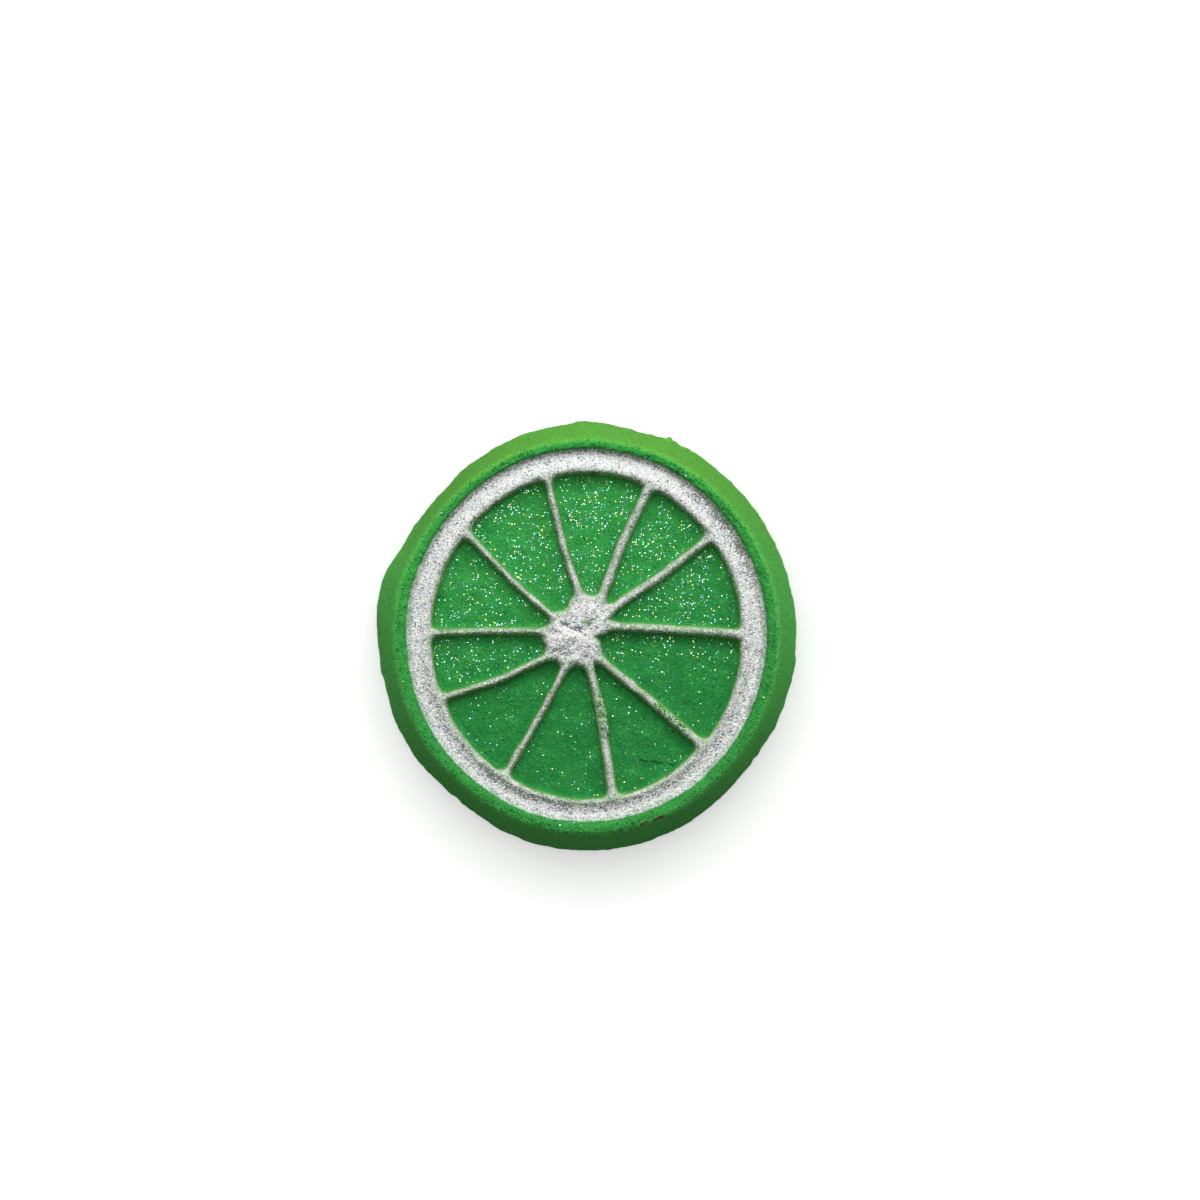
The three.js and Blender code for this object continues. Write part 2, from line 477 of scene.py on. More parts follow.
def wrapped_net(tree, given):
    """A grid with a row for each point of the section, rolled into a closed, turned skin."""
    lines = add_node(tree, "GeometryNodeObjectInfo", {"Object": given["Section"]}).outputs["Geometry"]
    rows = add_node(tree, "GeometryNodeAttributeDomainSize", {"Geometry": lines}).outputs["Point Count"]
    across = Field(given["Rays"]) + 1
    counts = {"Vertices X": rows, "Vertices Y": across}
    grid = add_node(tree, "GeometryNodeMeshGrid", counts).outputs["Mesh"]
    index = Field(add_node(tree, "GeometryNodeInputIndex").outputs[0])
    row = maths("FLOOR", (index + 0.5) / across)
    turn = (index - row * across) / given["Rays"] * math.tau
    sample = add_node(tree, "GeometryNodeSampleIndex", data_type="FLOAT_VECTOR")
    for name, value in {"Geometry": lines, "Value": position(tree), "Index": row}.items():
        feed(tree, sample.inputs[name], value)
    radius, _, height = axes(sample.outputs[0])
    net = keep(tree, grid, "turned", radius)
    radius = kept(tree, "turned")
    spot = point(tree, radius * maths("COSINE", turn), radius * maths("SINE", turn), height)
    net = moved(tree, net, Position=spot)
    net = add_node(tree, "GeometryNodeMergeByDistance", {"Geometry": net, "Distance": HAIR}).outputs[0]
    return add_node(tree, "GeometryNodeFlipFaces", {"Mesh": net}).outputs[0]


print(f"net: {len(section)} rows by {RAYS} rays")

# %% [markdown]
# The powder was pressed by hand and knocked out of its mould, so the foot of the wall bulges and flattens
# from one bearing to the next. Sculpting could do that, but a curve of swell over bearing is short, and
# one point of it can be corrected without touching the others.

# %% Skin, step 2: push it out of round
TALLNESS = 1.026
# How far the foot of the wall stands out at each bearing: degrees from +X, then millimetres.
SWELLS = [
    (0, 0.55), (22, 0.4), (45, 0.25), (65, 0.25), (76, -0.2), (90, 0.38), (97, -0.08), (105, -0.05),
    (120, -0.5), (128, -0.65), (136, -1.0), (150, -0.75), (160, 0.2), (170, 0.85), (181, 0.42), (195, 0.15),
    (204, 0.3), (215, 0.2), (230, -0.35), (246, 0.2), (256, 0.4), (266, 0.48), (285, 0.42), (296, 0.35),
    (308, 0.05), (325, -0.15), (335, 0.3), (341, 0.3), (350, 0.5), (360, 0.55),
]
SWELL_REACH = 2.0
RIM_SWELL_SHARE = 0.3
# The ring lies a little above the middle, and is a little longer than the wall.
FACE_SHIFT = 0.42 * MM
FACE_STRETCH = 0.008


def out_of_round(tree, net):
    """Stretches the net along Y, lets the wall swell by bearing, most at its foot, and shifts the ring."""
    x, y, height = axes(position(tree))
    radius = kept(tree, "turned")
    bearing = maths("FRACT", maths("ARCTAN2", y, x) / math.tau + 1)
    points = [(degrees / 360, 0.5 + swell / (2 * SWELL_REACH)) for degrees, swell in SWELLS]
    swell = (drawn(bearing, points) - 0.5) * (2 * SWELL_REACH * MM)
    inner = ramp(radius, RIM_RADIUS, GUTTER_RADIUS) * maths("GREATER_THAN", height, HEIGHT / 2)
    share = ramp(height, 0.0, HEIGHT, 1.0, RIM_SWELL_SHARE) * ramp(radius, 0.0, BASE_RADIUS) * (1 - inner)
    grown = (radius + swell * share) / maths("MAXIMUM", radius, HAIR)
    tall = math.sqrt(TALLNESS) + inner * FACE_STRETCH
    spot = point(tree, x * grown / tall, y * grown * tall + inner * FACE_SHIFT, height)
    return moved(tree, net, Position=spot)


print(f"out of round: {len(SWELLS)} swells")

# %% [markdown]
# Between the ribs the cut face sinks to the flesh. The pockets could be cut with booleans, but pressed
# powder has no sharp edges: every wall runs into the next in a soft fillet. A distance field gives that
# for nothing. At each point of the face the tree asks how far the nearest rib, the ring and the hub are,
# takes the smallest of the three with a smooth minimum, and sinks the point by a drawn wall profile of
# that distance.

# %% Skin, step 3: sink the pockets
# The hub is two lobes side by side: two ends in millimetres, and radius.
HUB_LOBES = [
    ((-3.5, -0.5, 0), (0.0, 3.3, 0), 3.7),
    ((-3.8, -1.6, 0), (-0.6, -1.9, 0), 2.9),
]
HUB_RISE = 0.35 * MM
RING_TALLNESS = 1.05
RIB_HALF_CREST = 0.5 * MM
RIB_SAG = 0.35 * MM
SAG_REACH = 10 * MM
# The ribs grow slimmer from right to left: where that starts and ends, and by how much.
SLIMMING = (2 * MM, -5 * MM)
SLIM = 0.18 * MM
# The hub starts to rise outside its edge and is at its full height inside it.
DOME_FOOT = 2 * MM
DOME_CROWN = -4 * MM
# The pressed edges waver: how wide the waves are, and how far they reach.
RIB_WAVES = (3 * MM, 0.25 * MM)
RING_WAVES = (4 * MM, 0.25 * MM)
HUB_WAVES = (2.5 * MM, 0.9 * MM)
POCKET_DEPTH = 2.15 * MM
POCKET_WALL = 0.85 * MM
CORNER_ROUND = 2.6 * MM
# From the middle of a rib's crest to the foot of its wall: how far along, then how far down.
WALL_PROFILE = [(0, 0), (0.22, 0.03), (0.42, 0.16), (0.62, 0.55), (0.8, 0.87), (1, 1)]


def waver(place, seed, waves):
    """Noise that carries an edge to and fro."""
    wide, far = waves
    return noise(place, wide, seed) * far


def face_distances(tree, given):
    """How far each point of the face is from the nearest rib, the ring, the hub, and all of them."""
    flat = vector("MULTIPLY", position(tree), (1, 1, 0))[0]
    x, y, _ = axes(flat)
    seed = given["Seed"]
    lines = add_node(tree, "GeometryNodeObjectInfo", {"Object": given["Ribs"]}).outputs["Geometry"]
    inputs = {"Geometry": lines, "Sample Position": flat}
    nearest = add_node(tree, "GeometryNodeProximity", inputs, target_element="EDGES").outputs["Distance"]
    rib = Field(nearest) - RIB_HALF_CREST + waver(flat, seed, RIB_WAVES)
    rib = rib + ramp(x, *SLIMMING, 0.0, SLIM)
    ring_radius = maths("SQRT", x * x * RING_TALLNESS + y * y / RING_TALLNESS)
    ring = RING_CREST_RADIUS - ring_radius + waver(flat, seed, RING_WAVES)
    lobes = [from_line(flat, start, end) - radius * MM for start, end, radius in HUB_LOBES]
    hub = maths("MINIMUM", *lobes) + waver(flat, seed, HUB_WAVES)
    web = maths("SMOOTH_MIN", maths("SMOOTH_MIN", rib, ring, CORNER_ROUND), hub, CORNER_ROUND)
    return {"ring": ring, "hub": hub, "web": web}


def sunk_share(near):
    """From 0 on a crest to 1 on the floor of a pocket."""
    reach = (near["web"] + RIB_HALF_CREST) / (RIB_HALF_CREST + POCKET_WALL)
    return drawn(clamped(reach), WALL_PROFILE)


def sunk_pockets(tree, net, near):
    """Lowers the face between the ribs, lets the ribs sag a little, and raises the hub."""
    sunk = kept(tree, "flesh")
    sag = ramp(near["ring"], 0.0, SAG_REACH) * ramp(near["hub"], 0.0, SAG_REACH) * RIB_SAG
    dome = ramp(near["hub"], DOME_FOOT, DOME_CROWN, 0.0, HUB_RISE)
    drop = (sunk * POCKET_DEPTH + sag * (1 - sunk) - dome) * kept(tree, "face")
    return moved(tree, net, Offset=point(tree, z=drop * -1))


print(f"pockets: {POCKET_DEPTH / MM:.1f} mm deep, walls {POCKET_WALL / MM:.2f} mm wide")

# %% [markdown]
# The finish changes from rind to rim, ring, rib and flesh, and the glitter lies mostly in the flesh. These
# areas could be painted by hand as vertex colours. The tree already knows every distance, though, so it
# stores them on the points as named attributes, which the material and the glitter read later.

# %% Skin, step 4: mark what each point is made of
# Radii between which one kind of place turns into the next.
FACE_BORDER = (RING_CREST_RADIUS + 2 * MM, RING_CREST_RADIUS + 1 * MM)
RIND_BORDER = (RIM_RADIUS - 0.3 * MM, SHOULDER_RADIUS - 0.35 * MM)
STEP_FOOT = (RING_OUTER_RADIUS - 0.5 * MM, RING_OUTER_RADIUS + 0.3 * MM)
STEP_TOP = (RIM_RADIUS + 0.2 * MM, RIM_RADIUS - 0.6 * MM)
# Distances from the edge of the hub between which the hub begins.
HUB_BORDER = (2 * MM, -1.5 * MM)
# Heights in the picture over which painted light grows on flesh and rim, and the lower pockets begin;
# both lines slant.
PAINTED_LIGHT_AND_DRIFT_BORDER = (-14 * MM, 20 * MM)
PAINTED_LIGHT_AND_DRIFT_SLANT = 0.25
LOWER_BORDER = (-3.5 * MM, -8 * MM)
LOWER_SLANT = 0.05
# How thick the glitter lies: at the painted-shade end of that line, how much more at its painted-light
# end, and in the lower pockets.
DARK_DRIFT = 0.8
PALE_DRIFT = 0.4
LOWER_DRIFT = 0.17
# How far the coat spills over the pockets' edges, and its value on the wall, far from any coat.
COAT_SPILL = 0.22 * MM
BARE = -5.0


def marked(tree, net, near):
    """Stores what each point is, from 0 to 1, and how many millimetres it lies inside the coat's edge."""
    x, y, height = axes(position(tree))
    radius = kept(tree, "turned")
    top = maths("GREATER_THAN", height, HEIGHT / 2)
    face = ramp(radius, *FACE_BORDER) * top
    rind = maths("MAXIMUM", ramp(radius, *RIND_BORDER), 1 - top)
    rim = ramp(radius, RING_OUTER_RADIUS, RIM_RADIUS) * (1 - rind)
    step = ramp(radius, *STEP_FOOT) * ramp(radius, *STEP_TOP) * top
    inside = maths("MINIMUM", RING_OUTER_RADIUS - radius, COAT_SPILL - near["web"]) / MM
    # Painted light: flesh and rim are coloured lighter towards the top of the picture along this slanted
    # line, and the glitter drift follows the same line.
    pale = ramp(y - x * PAINTED_LIGHT_AND_DRIFT_SLANT, *PAINTED_LIGHT_AND_DRIFT_BORDER)
    lower = ramp(y - x * LOWER_SLANT, *LOWER_BORDER)
    drift = ramp(lower, 0.0, 1.0, 1.0, LOWER_DRIFT) * (DARK_DRIFT + pale * PALE_DRIFT)
    masks = {
        "face": face,
        "flesh": sunk_share(near) * face,
        "rind": rind,
        "rim": rim,
        "step": step,
        "hub": ramp(near["hub"], *HUB_BORDER) * face,
        "coat": inside * top + (1 - top) * BARE,
        "drift": drift * top,
        "pale": pale,
    }
    for name, mask in masks.items():
        net = keep(tree, net, name, mask)
    return net


print(f"coat: spills {COAT_SPILL / MM:.2f} mm over the edge of each pocket")

# %% [markdown]
# Pressed powder is lumpy, and a few lumps and dents are larger than the rest. A bump map would only fake
# them, and they show in the outline, so they are real shape: noise of its own width and height for each
# kind of place, and a short list of single marks.

# %% Skin, step 5: roughen it
# Single lumps and dents that the mould and the brush left: two ends in millimetres, reach, and height.
MARKS = [
    ((14.6, 35.0, 3.5), (15.6, 34.6, 3.5), 1.1, 1.0),
    ((2.9, -11.3, 20.8), (3.7, -17.0, 20.6), 0.9, 0.5),
    ((-4.4, -1.2, 21.3), (-3.9, -0.6, 21.3), 2.8, 0.45),
    ((-4.0, 1.8, 21.3), (-1.2, 0.6, 21.3), 0.9, -0.45),
    ((0.8, 3.6, 21.3), (1.2, 4.2, 21.3), 1.4, 0.35),
]
# The edges of the marks waver too.
MARK_WAVES = (1.0 * MM, 0.8 * MM)
# Between these heights the lumps fade out, so that the underside stays flat.
FLAT_FOOT = (0.1 * MM, 0.8 * MM)


def roughened(tree, net, given):
    """Moves the skin along its normals by the lumps of each kind of place, and keeps it in its box."""
    place = position(tree)
    seed = given["Seed"]
    height = axes(place)[2]
    rind = kept(tree, "rind")
    # Where the lumps are, then how wide they are and how far they rise, in millimetres.
    lumps = [
        (rind, 6.0, 0.10),
        (rind * ramp(height, 6 * MM, 0.5 * MM), 3.2, 0.35),
        (rind * ramp(height, 3 * MM, 0.5 * MM), 1.4, 0.3),
        (kept(tree, "rim"), 1.6, 0.22),
        (kept(tree, "step"), 1.0, 0.45),
        (kept(tree, "step"), 0.6, 0.25),
        (ramp(kept(tree, "coat"), 0.0, 0.4), 1.5, 0.16),
        (kept(tree, "hub"), 2.6, 0.6),
        (kept(tree, "flesh"), 2.2, 0.35),
    ]
    total = sum(noise(place, wide * MM, seed, 3.0) * where * (rise * MM) for where, wide, rise in lumps)
    ragged = waver(place, seed, MARK_WAVES)
    for start, end, reach, rise in MARKS:
        away = from_line(place, start, end) + ragged
        total = total + ramp(away, reach * MM, 0.0, 0.0, rise * MM)
    total = total * ramp(height, *FLAT_FOOT)
    normal = add_node(tree, "GeometryNodeInputNormal").outputs[0]
    net = moved(tree, net, Offset=scaled(normal, total))
    boxed = vector("MAXIMUM", vector("MINIMUM", position(tree), high)[0], low)[0]
    return moved(tree, net, Position=boxed)


def skin_tree():
    """The whole tree, with its sizes and its seed as named inputs."""
    kinds = {"Section": "Object", "Ribs": "Object", "Rays": "Int", "Seed": "Float", "Material": "Material"}
    tree, given = new_tree("press_lime_slice", kinds)
    net = out_of_round(tree, wrapped_net(tree, given))
    near = face_distances(tree, given)
    net = marked(tree, net, near)
    net = sunk_pockets(tree, net, near)
    net = roughened(tree, net, given)
    net = add_node(tree, "GeometryNodeSetShadeSmooth", {"Geometry": net}).outputs[0]
    return finished_tree(tree, net, given["Material"])


print(f"roughness: {len(MARKS)} single marks")

# %% [markdown]
# ## Pressed powder
# The powder is a matt, grainy salt mix, dyed through: yellow-green on the outer wall, emerald on the rim
# and a deeper green in the pockets, with dark pores where grains broke out, paler dust, and a few specks
# of stray dye. The rim and the pockets are also painted lighter towards the top of the picture and
# darker towards the bottom: that is painted light and shade. A painted image would need a map of the
# whole skin. Noise on Object coordinates needs none, and it has the same grain all round.

# %% Powder
# The shaded ends of the rim and flesh greens are painted shade, and the bright flesh green is painted
# light.
EMERALD_PAINTED_SHADE = (0.026, 0.205, 0.036, 1)
EMERALD = (0.032, 0.262, 0.043, 1)
FLESH_PAINTED_SHADE = (0.0130, 0.158, 0.0325, 1)
FLESH_PAINTED_LIGHT = (0.0225, 0.224, 0.041, 1)
RIND_GREEN = (0.102, 0.363, 0.041, 1)
RIND_DEEP = (0.096, 0.500, 0.092, 1)
# A yellower green for the pocket edges, partly bare powder and partly painted highlight.
EDGE_GREEN_AND_HIGHLIGHT = (0.100, 0.270, 0.045, 1)
# Dark green of pores, also used as painted shade in the crease at the foot of the rim.
PORE_AND_SHADE_GREEN = (0.008, 0.075, 0.018, 1)
DUST_GREEN = (0.070, 0.380, 0.090, 1)
GRAIN = 0.35 * MM
BRISTLE = 0.8 * MM
CLOUD = 3 * MM
# Between these heights in the picture the wall turns yellower, along a cloudy line.
WALL_BORDER = (0.0, 32 * MM)
WALL_CLOUD = 8 * MM
DYE_RED = (0.320, 0.035, 0.020, 1)
DYE_BROWN = (0.090, 0.055, 0.020, 1)
# Specks of stray dye: two ends in millimetres, reach, and colour.
DYE_SPECKS = [
    ((-36.9, 3.3, 3.6), (-37.1, 2.9, 2.8), 0.7, DYE_RED),
    ((-37.1, 2.0, 2.5), (-37.2, 1.6, 1.9), 0.55, DYE_RED),
    ((-35.0, 13.2, 4.5), (-35.4, 13.0, 2.5), 0.5, DYE_BROWN),
    ((9.6, -32.9, 21.5), (10.6, -32.6, 21.5), 0.35, DYE_BROWN),
    ((12.0, -32.3, 21.5), (13.4, -31.6, 21.5), 0.35, DYE_BROWN),
    ((9.4, -21.7, 18.9), (16.8, -22.9, 18.9), 0.25, PORE_AND_SHADE_GREEN),
    ((-23.2, 1.7, 20.2), (-21.4, 1.9, 20.2), 0.4, PORE_AND_SHADE_GREEN),
]


def blend(share, first, second):
    """A colour between two others."""
    node = add_node(share.tree, "ShaderNodeMix", {0: share, 6: first, 7: second}, data_type="RGBA")
    return node.outputs[2]


def powder_colour(tree, place):
    """Dyed powder: its green by place with painted light and shade, darker in pores and paler on loose
    grains.
    """
    grain = noise(place, GRAIN, 1.0, 1.0)
    bristle = noise(place, BRISTLE, 2.0, 3.0)
    cloud = noise(place, CLOUD, 3.0, 3.0)
    coat = kept(tree, "coat")
    face = kept(tree, "face")
    pale = kept(tree, "pale")
    # The three greens, each with its own fade; on the flesh and the rim the fade is painted light and
    # shade.
    rind = ramp(kept(tree, "rind") + bristle * 0.5, 0.1, 0.9)
    wall = blend(ramp(axes(place)[1] + cloud * WALL_CLOUD, *WALL_BORDER), RIND_DEEP, RIND_GREEN)
    flesh = blend(pale + cloud * 0.5, FLESH_PAINTED_SHADE, FLESH_PAINTED_LIGHT)
    emerald = blend(pale + cloud * 0.2, EMERALD_PAINTED_SHADE, EMERALD)
    green = blend(kept(tree, "flesh"), emerald, flesh)
    green = blend(rind, green, wall)
    # Just outside the coat: an olive edge in the pockets, partly painted highlight of the lit pocket walls,
    # and a dark crease at the foot of the rim, its bristly grains partly painted shade.
    green = blend(ramp(coat, -0.35, 0.0) * face, green, EDGE_GREEN_AND_HIGHLIGHT)
    crease_grain_and_shade = ramp(coat, -0.4, -0.05) * (1 - face) * ramp(bristle, 0.3, -0.3)
    green = blend(crease_grain_and_shade * 0.3, green, PORE_AND_SHADE_GREEN)
    # Pores and dust, fewer on the smoother wall.
    open_grain = 1 - rind * 0.5
    worn = ramp(coat, -0.2, 0.2)
    pores = ramp(grain + cloud * 0.4 - kept(tree, "rim") * 0.2 - worn * 0.3, -0.2, -0.55) * open_grain
    dust = ramp(grain + cloud * 0.4, 0.05, 0.7) * open_grain * 0.7
    green = blend(pores, blend(dust, green, DUST_GREEN), PORE_AND_SHADE_GREEN)
    green = blend(ramp(grain + bristle * 0.5, 0.3, -0.5) * rind * 0.5, green, PORE_AND_SHADE_GREEN)
    for start, end, reach, dye in DYE_SPECKS:
        away = from_line(place, start, end) / MM + bristle * 0.7
        green = blend(ramp(away, reach, reach * 0.4), green, dye)
    return green, grain


print(f"powder: {len(DYE_SPECKS)} specks of stray dye")

# %% [markdown]
# ## Mica
# The silver-white coat is a dust of tiny flat flakes, brushed over the crests. Each flake faces its own
# way, so the coat glints white where it faces the light. On slopes that turn away from the key light,
# and along a few listed stretches of the ring, more flakes are painted dark: that is painted shade.
# Flakes as real pieces would be too many, so a Voronoi texture gives each cell its own grey and its own
# tilt.
#
# The coat shares a material with the powder, because the brush left no clean border: it thins out over
# about a third of a millimetre, and noise in its edge leaves grains of green showing through.

# %% Mica flakes
MICA_DARK = (0.175, 0.180, 0.175, 1)
MICA_WHITE = (0.525, 0.535, 0.527, 1)
MICA_FLAKE = 0.22 * MM
# How far each flake leans, and how far its colour strays from grey.
MICA_TILT = 0.35
MICA_TINT = (0.12, 0.12, 0.12)
# Strokes: how wide, how much shorter the way round counts than the way out, and how far they darken.
STREAK = 0.35 * MM
STREAK_SHARE = 0.2
STREAK_DEPTH = 0.4
# Painted shade on slopes that turn from the key light: how dark it is, and what is left of it at the
# outer edge of the ring.
PAINTED_SHADE_BORDER = (0.15, -0.75)
PAINTED_SHADE_SLANT = 0.1
PAINTED_SHADE_DARK = 0.53
PAINTED_SHADE_OUTSIDE = 0.5
# A flake goes from dark to white between these two values.
FLAKE_STEP = (-0.06, 0.26)
# Painted shade on stretches of the ring whose slopes turn from the light: two ends in millimetres,
# reach, and how dark.
PAINTED_SHADE_STRETCHES = [
    ((29.5, 10.1, 20.6), (26.8, 15.8, 20.6), 2.2, 0.36),
    ((26.8, 15.8, 20.6), (23.0, 20.9, 20.6), 2.2, 0.40),
    ((23.0, 20.9, 20.6), (18.1, 25.3, 20.6), 1.8, 0.30),
    ((-17.4, -23.8, 20.7), (-12.1, -27.0, 20.7), 0.9, 0.30),
    ((-10.6, -27.6, 20.7), (-2.0, -29.4, 20.7), 1.0, 0.35),
]


def brush_streaks(tree, place):
    """Strokes that run round the ring: noise on the bearing and the radius, drawn out along the bearing."""
    x, y, _ = axes(place)
    around = maths("ARCTAN2", y, x) * (RING_CREST_RADIUS * STREAK_SHARE)
    outwards = maths("SQRT", x * x + y * y)
    return noise(point(tree, around, outwards), STREAK, 6.0, 3.0)


def mica_flakes(tree, place, upright):
    """The colour of each flake, with painted shade where the slope turns from the key light, and the way
    that it faces.
    """
    cells = add_node(tree, "ShaderNodeTexVoronoi", {"Vector": place, "Scale": 1 / MICA_FLAKE})
    facing = vector("SUBTRACT", cells.outputs["Color"], (0.5, 0.5, 0.5))[0]
    aside, ahead, _ = axes(upright)
    # Painted shade: flakes darken on slopes whose normal points away from the key light.
    painted_shade_share = ramp(ahead + aside * PAINTED_SHADE_SLANT, *PAINTED_SHADE_BORDER)
    painted_shade_share = painted_shade_share * ramp(kept(tree, "turned"), GUTTER_RADIUS, RING_OUTER_RADIUS, 1.0, PAINTED_SHADE_OUTSIDE)
    streaks = brush_streaks(tree, place)
    painted_shade = painted_shade_share * PAINTED_SHADE_DARK
    # Painted shade along the listed stretches of the ring.
    for start, end, reach, dark in PAINTED_SHADE_STRETCHES:
        away = from_line(place, start, end) / MM + streaks * 0.5
        painted_shade = painted_shade + ramp(away, reach, 0.0, 0.0, dark)
    bright = axes(cells.outputs["Color"])[0] + streaks * STREAK_DEPTH - painted_shade
    grey = blend(ramp(bright, *FLAKE_STEP), MICA_DARK, MICA_WHITE)
    return vector("ADD", grey, vector("MULTIPLY", facing, MICA_TINT)[0])[0], facing


print(f"mica: {len(PAINTED_SHADE_STRETCHES)} dusky stretches")

# %% Mica cover
# Where the brush missed or the coat rubbed off: two ends in millimetres, reach, and how much is gone.
RUBBED = [
    ((2.4, -11.0, 20.8), (3.4, -17.2, 20.6), 1.3, 1.0),
    ((12.5, -11.8, 20.8), (17.5, -16.2, 20.6), 1.2, 1.0),
    ((-0.4, 2.6, 21.4), (0.4, 2.3, 21.4), 0.7, 1.0),
    ((-26.0, 1.2, 20.8), (-18.0, 1.5, 20.8), 0.6, 1.0),
    ((-6.9, 30.3, 20.4), (-6.7, 30.1, 20.4), 0.4, 1.0),
    ((-6.4, 27.8, 21.1), (-6.3, 27.6, 21.1), 0.4, 1.0),
    ((28.9, -15.0, 20.7), (28.6, -15.2, 20.7), 0.6, 1.0),
    ((6.0, 1.6, 20.8), (24.0, 0.7, 20.8), 1.2, 0.7),
    ((-25.0, 0.6, 20.8), (-9.0, 1.0, 20.8), 1.2, 0.75),
    ((-23.0, -10.2, 20.8), (-8.5, -4.3, 20.8), 1.2, 0.6),
    ((-12.5, -22.0, 20.8), (-4.5, -7.5, 20.8), 1.1, 0.4),
]
# Widths of the noise in the coat: its grain, its frayed edge, and the patches where the ribs are worn.
COAT_GRAIN = 0.4 * MM
COAT_FRAY = 2 * MM
COAT_PATCH = 3 * MM
# Nearer to the coat's edge than this, in millimetres, the brush left less; and how much less at most.
RIB_COAT = (1.2, 0.4)
RIB_WEAR = 0.65


def mica_cover(tree, place):
    """How much of the powder the mica hides: ragged at its edge, and rubbed thin on the ribs."""
    inside = kept(tree, "coat")
    fine = noise(place, COAT_GRAIN, 3.0, 2.0)
    frayed = noise(place, COAT_FRAY, 4.0, 2.0)
    patchy = noise(place, COAT_PATCH, 5.0, 2.0)
    edge = ramp(inside + fine * 0.3 + frayed * 0.2, -0.1, 0.15)
    thin = ramp(inside, *RIB_COAT) * ramp(fine + patchy * 0.6, -0.5, 0.4) * RIB_WEAR
    for start, end, reach, gone in RUBBED:
        away = from_line(place, start, end) / MM + fine * 1.3
        thin = maths("MAXIMUM", thin, ramp(away, reach, reach * 0.6) * ramp(fine, -0.3, 0.1) * gone)
    return edge * (1 - thin)


print(f"mica cover: {len(RUBBED)} rubbed stretches")

# %% One material of powder and mica
SHEEN = 0.1
POWDER_ROUGHNESS = 0.9
MICA_ROUGHNESS = 0.4
MICA_METALLIC = 0.1
GRAIN_STRENGTH = 0.6
GRAIN_HEIGHT = 0.2 * MM


def slice_material():
    """Powder where the coat is gone, mica where it covers, and one grain under both."""
    material, shader = new_material("pressed_powder_and_mica", Specular_IOR_Level=SHEEN)
    tree = material.node_tree
    place = add_node(tree, "ShaderNodeTexCoord").outputs["Object"]
    powder, grain = powder_colour(tree, place)
    upright = add_node(tree, "ShaderNodeNewGeometry").outputs["Normal"]
    mica, facing = mica_flakes(tree, place, upright)
    cover = mica_cover(tree, place)
    leaning = vector("ADD", upright, scaled(facing, cover * MICA_TILT))[0]
    leaning = vector("NORMALIZE", leaning, (0, 0, 0))[0]
    bump = add_node(tree, "ShaderNodeBump", {"Strength": GRAIN_STRENGTH, "Distance": GRAIN_HEIGHT})
    feed(tree, bump.inputs["Height"], grain)
    feed(tree, bump.inputs["Normal"], leaning)
    feed(tree, shader.inputs["Base Color"], blend(cover, powder, mica))
    feed(tree, shader.inputs["Roughness"], ramp(cover, 0.0, 1.0, POWDER_ROUGHNESS, MICA_ROUGHNESS))
    feed(tree, shader.inputs["Metallic"], cover * MICA_METALLIC)
    feed(tree, shader.inputs["Normal"], bump.outputs[0])
    return material


powder_and_mica = slice_material()
print(f"material: {powder_and_mica.name}, {len(powder_and_mica.node_tree.nodes)} nodes")

# %% Press the slice
SEED = 4.0
values = {
    "Section": section_sketch, "Ribs": rib_sketch, "Rays": RAYS, "Seed": SEED, "Material": powder_and_mica,
}
lime_slice = made_by(skin_tree(), "lime_slice", values)
for guide in (section_sketch, rib_sketch):
    bpy.data.objects.remove(guide)
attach(lime_slice, "root")
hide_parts("pressed_lime_slice")
print(f"slice: {len(lime_slice.data.polygons)} faces")

# %% [markdown]
# ## Glitter
# The pockets are sprinkled with hexagonal glitter, cut from a film that shifts from white through cyan,
# blue and lilac to gold. It fell in drifts, thick in the upper and side pockets and thin in the lower
# three. A sparkle texture would be lighter, but only real flakes catch the light one by one as the puck
# turns. So they are scattered on the skin with a density that follows the flesh, clumpy noise and that
# drift, and each lies at its own tilt.

# %% Glitter material
FILM_METALLIC = 0.7
FILM_ROUGHNESS = 0.3
# Share of the flakes at which each colour starts, then the colour.
TINTS = [
    (0.0, (0.85, 0.97, 0.92, 1)),
    (0.30, (0.30, 0.90, 0.85, 1)),
    (0.55, (0.22, 0.58, 0.95, 1)),
    (0.68, (0.60, 0.50, 0.95, 1)),
    (0.76, (0.90, 0.90, 0.25, 1)),
]


def glitter_material():
    """Shiny film, with one tint for each flake."""
    material, shader = new_material("glitter_film", Metallic=FILM_METALLIC, Roughness=FILM_ROUGHNESS)
    tree = material.node_tree
    tints = add_node(tree, "ShaderNodeValToRGB", {0: kept(tree, "tint")})
    tints.color_ramp.interpolation = "CONSTANT"
    stops = tints.color_ramp.elements
    while len(stops) < len(TINTS):
        stops.new(1.0)
    for stop, (share, colour) in zip(stops, TINTS):
        stop.position = share
        stop.color = colour
    feed(tree, shader.inputs["Base Color"], tints.outputs["Color"])
    return material


print(f"glitter film: {len(TINTS)} tints")

# %% Scatter the glitter
FLAKE_SIDES = 6
FLAKE_WIDTH = 0.225 * MM
FLAKE_THICKNESS = 0.03 * MM
FLAKES_PER_M2 = 3.2e6
FLAKE_SIZES = (0.7, 1.15)
FLAKE_TILT = 0.45
STRAY_SHARE = 0.02
CLUMP = 2.5 * MM
CLUMP_BORDER = (-0.4, 0.4)
TILT_SEED = 1
TINT_SEED = 2
SIZE_SEED = 3


def random_value(tree, kind, seed, least, most):
    """A random number or vector for each flake."""
    node = add_node(tree, "FunctionNodeRandomValue", data_type=kind)
    sockets = [socket for socket in node.inputs if socket.enabled]
    for socket, value in zip(sockets, (least, most)):
        feed(tree, socket, value)
    feed(tree, node.inputs["Seed"], seed)
    return next(socket for socket in node.outputs if socket.enabled)


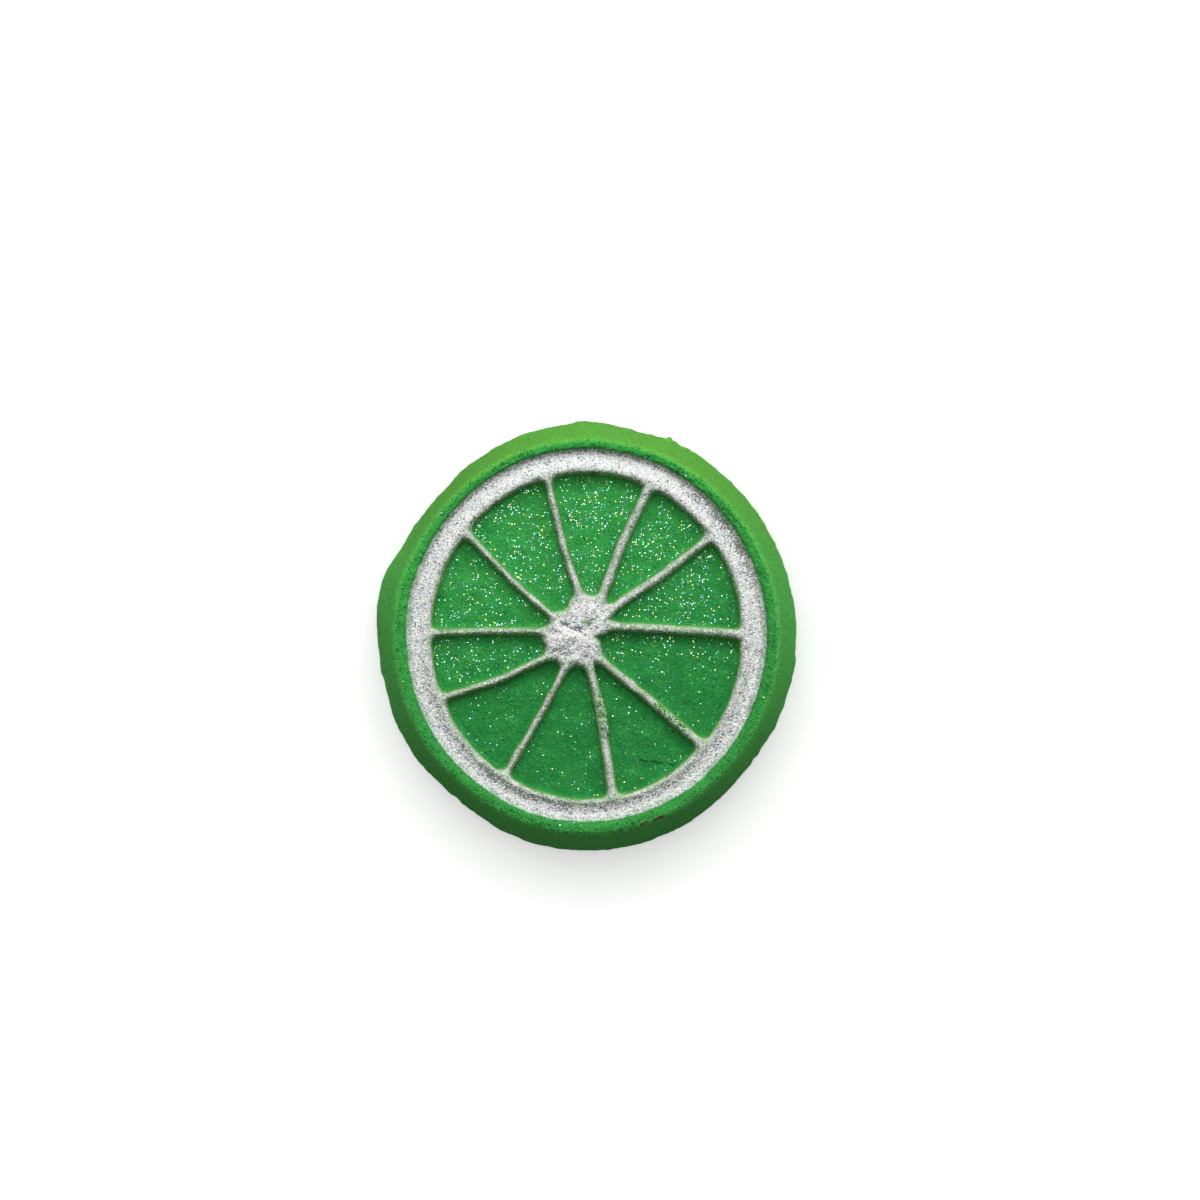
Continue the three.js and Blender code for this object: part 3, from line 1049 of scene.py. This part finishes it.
def glitter_tree():
    """Flakes on the skin of another object, thick where it is flesh."""
    kinds = {"Slice": "Object", "Density": "Float", "Width": "Float", "Thickness": "Float"}
    tree, given = new_tree("sprinkle_glitter", {**kinds, "Seed": "Int", "Material": "Material"})
    skin = add_node(tree, "GeometryNodeObjectInfo", {"Object": given["Slice"]}).outputs["Geometry"]
    flesh = kept(tree, "flesh")
    clumps = ramp(noise(position(tree), CLUMP, 7.0, 3.0), *CLUMP_BORDER)
    strays = (1 - kept(tree, "rind")) * STRAY_SHARE
    density = (flesh * flesh * clumps * kept(tree, "drift") + strays) * given["Density"]
    fallen = add_node(tree, "GeometryNodeDistributePointsOnFaces", {"Mesh": skin})
    feed(tree, fallen.inputs["Density"], density)
    feed(tree, fallen.inputs["Seed"], given["Seed"])
    hexagon = {"Vertices": FLAKE_SIDES, "Depth": given["Thickness"], "Radius": Field(given["Width"]) * 0.5}
    flake = add_node(tree, "GeometryNodeMeshCylinder", hexagon)
    least = (-FLAKE_TILT, -FLAKE_TILT, 0)
    most = (FLAKE_TILT, FLAKE_TILT, math.tau)
    tilt = random_value(tree, "FLOAT_VECTOR", TILT_SEED, least, most)
    lean = add_node(tree, "FunctionNodeEulerToRotation", {0: tilt}).outputs[0]
    facing = add_node(tree, "FunctionNodeRotateRotation", rotation_space="LOCAL")
    feed(tree, facing.inputs["Rotation"], fallen.outputs["Rotation"])
    feed(tree, facing.inputs["Rotate By"], lean)
    tinted = keep(tree, fallen.outputs["Points"], "tint", random_value(tree, "FLOAT", TINT_SEED, 0.0, 1.0))
    sprinkled = add_node(tree, "GeometryNodeInstanceOnPoints", {"Points": tinted})
    inputs = {
        "Instance": flake.outputs["Mesh"],
        "Rotation": facing.outputs[0],
        "Scale": random_value(tree, "FLOAT", SIZE_SEED, *FLAKE_SIZES),
    }
    for name, value in inputs.items():
        feed(tree, sprinkled.inputs[name], value)
    return finished_tree(tree, sprinkled.outputs[0], given["Material"])


GLITTER_SEED = 11
values = {
    "Slice": lime_slice, "Density": FLAKES_PER_M2, "Width": FLAKE_WIDTH, "Thickness": FLAKE_THICKNESS,
    "Seed": GLITTER_SEED, "Material": glitter_material(),
}
glitter = made_by(glitter_tree(), "glitter", values)
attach(glitter, "root")
print(f"glitter: {len(glitter.data.polygons) // (FLAKE_SIDES + 2)} flakes")

# %% [markdown]
# ## What each light falls on
# A photographer keeps a lamp off the backdrop with a card. Here light linking does it: a light with a
# receiver collection falls only on the pieces in it. The key light draws the relief, and on the floor it
# would only throw a long shadow, so it falls on the slice and its glitter. The floor light falls on the
# floor alone, so it brightens the paper and leaves the relief as it is.

# %% Link the lights
for name, pieces in {"key_light": (lime_slice, glitter), "floor_light": (floor,)}.items():
    lit = bpy.data.collections.new("lit_by_" + name)
    for piece in pieces:
        lit.objects.link(piece)
    bpy.data.objects[name].light_linking.receiver_collection = lit
    print(f"{name}: lights {len(pieces)} pieces")
